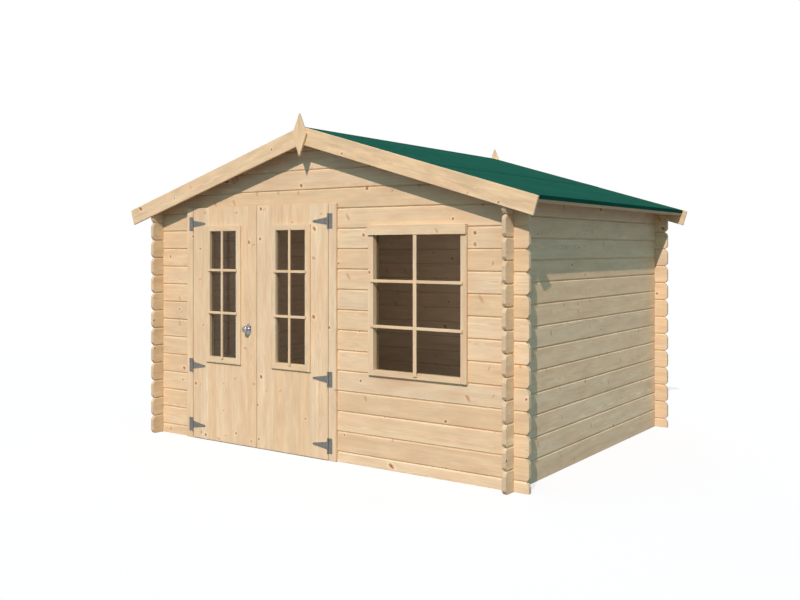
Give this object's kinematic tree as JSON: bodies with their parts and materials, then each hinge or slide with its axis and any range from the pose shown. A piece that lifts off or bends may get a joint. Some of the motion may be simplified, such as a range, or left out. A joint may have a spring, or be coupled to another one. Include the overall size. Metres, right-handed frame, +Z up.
{
  "type": "log cabin",
  "caption": "Small log cabin with interlocked log walls, a low gable roof, a pair of glazed front doors and a glazed window.",
  "frame": {"origin": "on the ground at the centre of the walls", "axes": "+X to the right along the front, +Y from the front to the back, +Z up; the doors face -Y"},
  "size_m": [3.6466, 2.7912, 2.4135],
  "materials": {
    "log_spruce": "planed spruce logs, unfinished, with soft grain and small knots",
    "trim_spruce": "planed spruce frame and trim boards",
    "door_boards": "upright tongued spruce boards",
    "barge_spruce": "planed spruce boards",
    "roof_spruce": "planed spruce roof timber",
    "roofing_felt": "green mineral roofing felt, matt and slightly granular",
    "glass": "clear sheet glass",
    "galvanised_steel": "galvanised steel, blue-grey and matt",
    "knob_metal": "dark grey metal with a soft shine"
  },
  "bodies": {
    "root": {"left_wall": "log_spruce", "right_wall": "log_spruce", "rear_wall": "log_spruce", "rear_gable": "log_spruce", "front_wall_left": "log_spruce", "front_wall_pier": "log_spruce", "front_wall_right": "log_spruce", "front_wall_under_window": "log_spruce", "front_wall_over_window": "log_spruce", "front_gable": "log_spruce", "door_jamb_left": "trim_spruce", "door_jamb_right": "trim_spruce", "door_head": "trim_spruce", "door_threshold": "trim_spruce", "left_hinge_plates": "galvanised_steel", "right_hinge_plates": "galvanised_steel", "window_frame": "trim_spruce", "window_trim": "trim_spruce", "window_glass": "glass", "ridge_purlin": "roof_spruce", "left_purlin": "roof_spruce", "right_purlin": "roof_spruce", "roof_boards_left": "roof_spruce", "roof_boards_right": "roof_spruce", "eave_batten_left": "roof_spruce", "eave_batten_right": "roof_spruce", "roof_felt_left": "roofing_felt", "roof_felt_right": "roofing_felt", "front_barge_boards": "barge_spruce", "rear_barge_boards": "barge_spruce", "front_finial": "barge_spruce", "rear_finial": "barge_spruce"},
    "left_door": {"left_door_leaf": "door_boards", "left_door_ledges": "trim_spruce", "left_door_trim": "trim_spruce", "left_door_glass": "glass", "left_hinge_straps": "galvanised_steel", "door_knob": "knob_metal"},
    "right_door": {"right_door_leaf": "door_boards", "right_door_ledges": "trim_spruce", "right_door_trim": "trim_spruce", "right_door_glass": "glass", "right_hinge_straps": "galvanised_steel"}
  },
  "joints": [
    {"name": "left_door_hinge", "type": "hinge", "parent": "root", "child": "left_door", "pos_m": [-1.2, -1.2818, 0.885], "axis": [0, 0, -1], "range_deg": [0, 135]},
    {"name": "right_door_hinge", "type": "hinge", "parent": "root", "child": "right_door", "pos_m": [0.164, -1.2818, 0.885], "axis": [0, 0, 1], "range_deg": [0, 165]}
  ]
}
